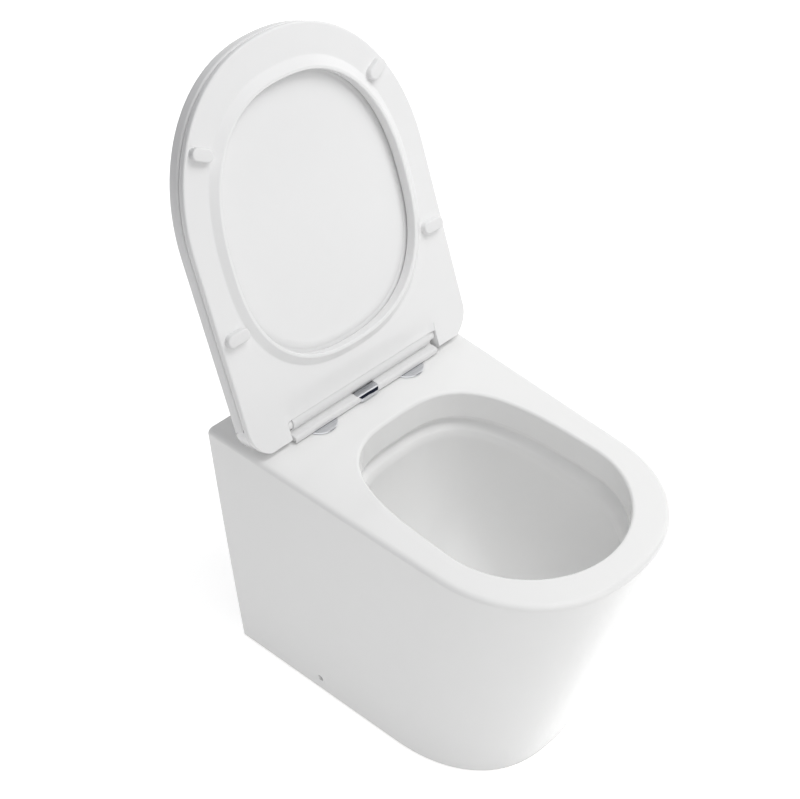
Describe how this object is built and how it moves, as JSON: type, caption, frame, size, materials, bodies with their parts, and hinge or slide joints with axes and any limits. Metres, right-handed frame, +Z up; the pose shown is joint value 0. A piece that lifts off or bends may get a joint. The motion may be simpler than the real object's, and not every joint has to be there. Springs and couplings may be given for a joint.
{
  "type": "toilet",
  "caption": "Back-to-wall toilet pan with closed tapering skirt, raised soft-close seat and lid on a quick-release hinge bar.",
  "frame": {"origin": "middle of the box's bottom: on the floor, under the middle of the pan's depth", "axes": "+Z up, -Y towards the front of the bowl, +Y towards the wall, X across"},
  "size_m": [0.378, 0.6179, 0.8638],
  "materials": {
    "ceramic": "glossy glaze",
    "white_plastic": "glossy",
    "nylon": "matt",
    "buffer": "matt, slightly soft",
    "steel": "satin",
    "rubber_seal": "matt",
    "chrome_trim": "polished"
  },
  "bodies": {
    "fixed_parts": {"ceramic_pan": "ceramic", "hinge_bar": "white_plastic", "lid_damper": "nylon", "seat_damper": "nylon", "left_post": "steel", "right_post": "steel", "left_gasket": "rubber_seal", "right_gasket": "rubber_seal", "left_sleeve": "rubber_seal", "right_sleeve": "rubber_seal", "left_washer": "rubber_seal", "right_washer": "rubber_seal", "left_wing_nut": "nylon", "right_wing_nut": "nylon", "left_bracket": "nylon", "right_bracket": "nylon", "side_screws": "steel", "button_spring": "steel"},
    "lid": {"lid": "white_plastic", "lid_buffers": "buffer", "lid_pin": "steel"},
    "seat": {"seat_ring": "white_plastic", "seat_buffers": "buffer", "seat_pin": "steel"},
    "button": {"release_button": "chrome_trim"},
    "latch_left": {"left_latch": "steel"},
    "latch_right": {"right_latch": "steel"},
    "disc_left": {"left_disc": "chrome_trim"},
    "disc_right": {"right_disc": "chrome_trim"}
  },
  "joints": [
    {"name": "lid_hinge", "type": "hinge", "parent": "fixed_parts", "child": "lid", "pos_m": [0, 0.14602, 0.4273], "axis": [1, 0, 0], "range_deg": [0, 108.9]},
    {"name": "seat_hinge", "type": "hinge", "parent": "lid", "child": "seat", "pos_m": [0, 0.14602, 0.4273], "axis": [-1, 0, 0], "range_deg": [-108.9, 0]},
    {"name": "button_press", "type": "slide", "parent": "fixed_parts", "child": "button", "axis": [0, 1, 0], "range_m": [0, 0.003], "stiffness_N_per_m": 800, "deforming": ["button_spring"]},
    {"name": "left_latch_slide", "type": "slide", "parent": "fixed_parts", "child": "latch_left", "axis": [-1, 0, 0], "range_m": [0, 0.003]},
    {"name": "right_latch_slide", "type": "slide", "parent": "fixed_parts", "child": "latch_right", "axis": [1, 0, 0], "range_m": [0, 0.003]},
    {"name": "left_disc_turn", "type": "hinge", "parent": "fixed_parts", "child": "disc_left", "pos_m": [-0.0775, 0.13622, 0.4056], "axis": [0, 0, 1], "continuous": true},
    {"name": "right_disc_turn", "type": "hinge", "parent": "fixed_parts", "child": "disc_right", "pos_m": [0.0775, 0.13622, 0.4056], "axis": [0, 0, 1], "continuous": true}
  ],
  "couplings": [
    {"joint": "left_latch_slide", "follows": "button_press", "ratio": 1},
    {"joint": "right_latch_slide", "follows": "button_press", "ratio": 1}
  ]
}
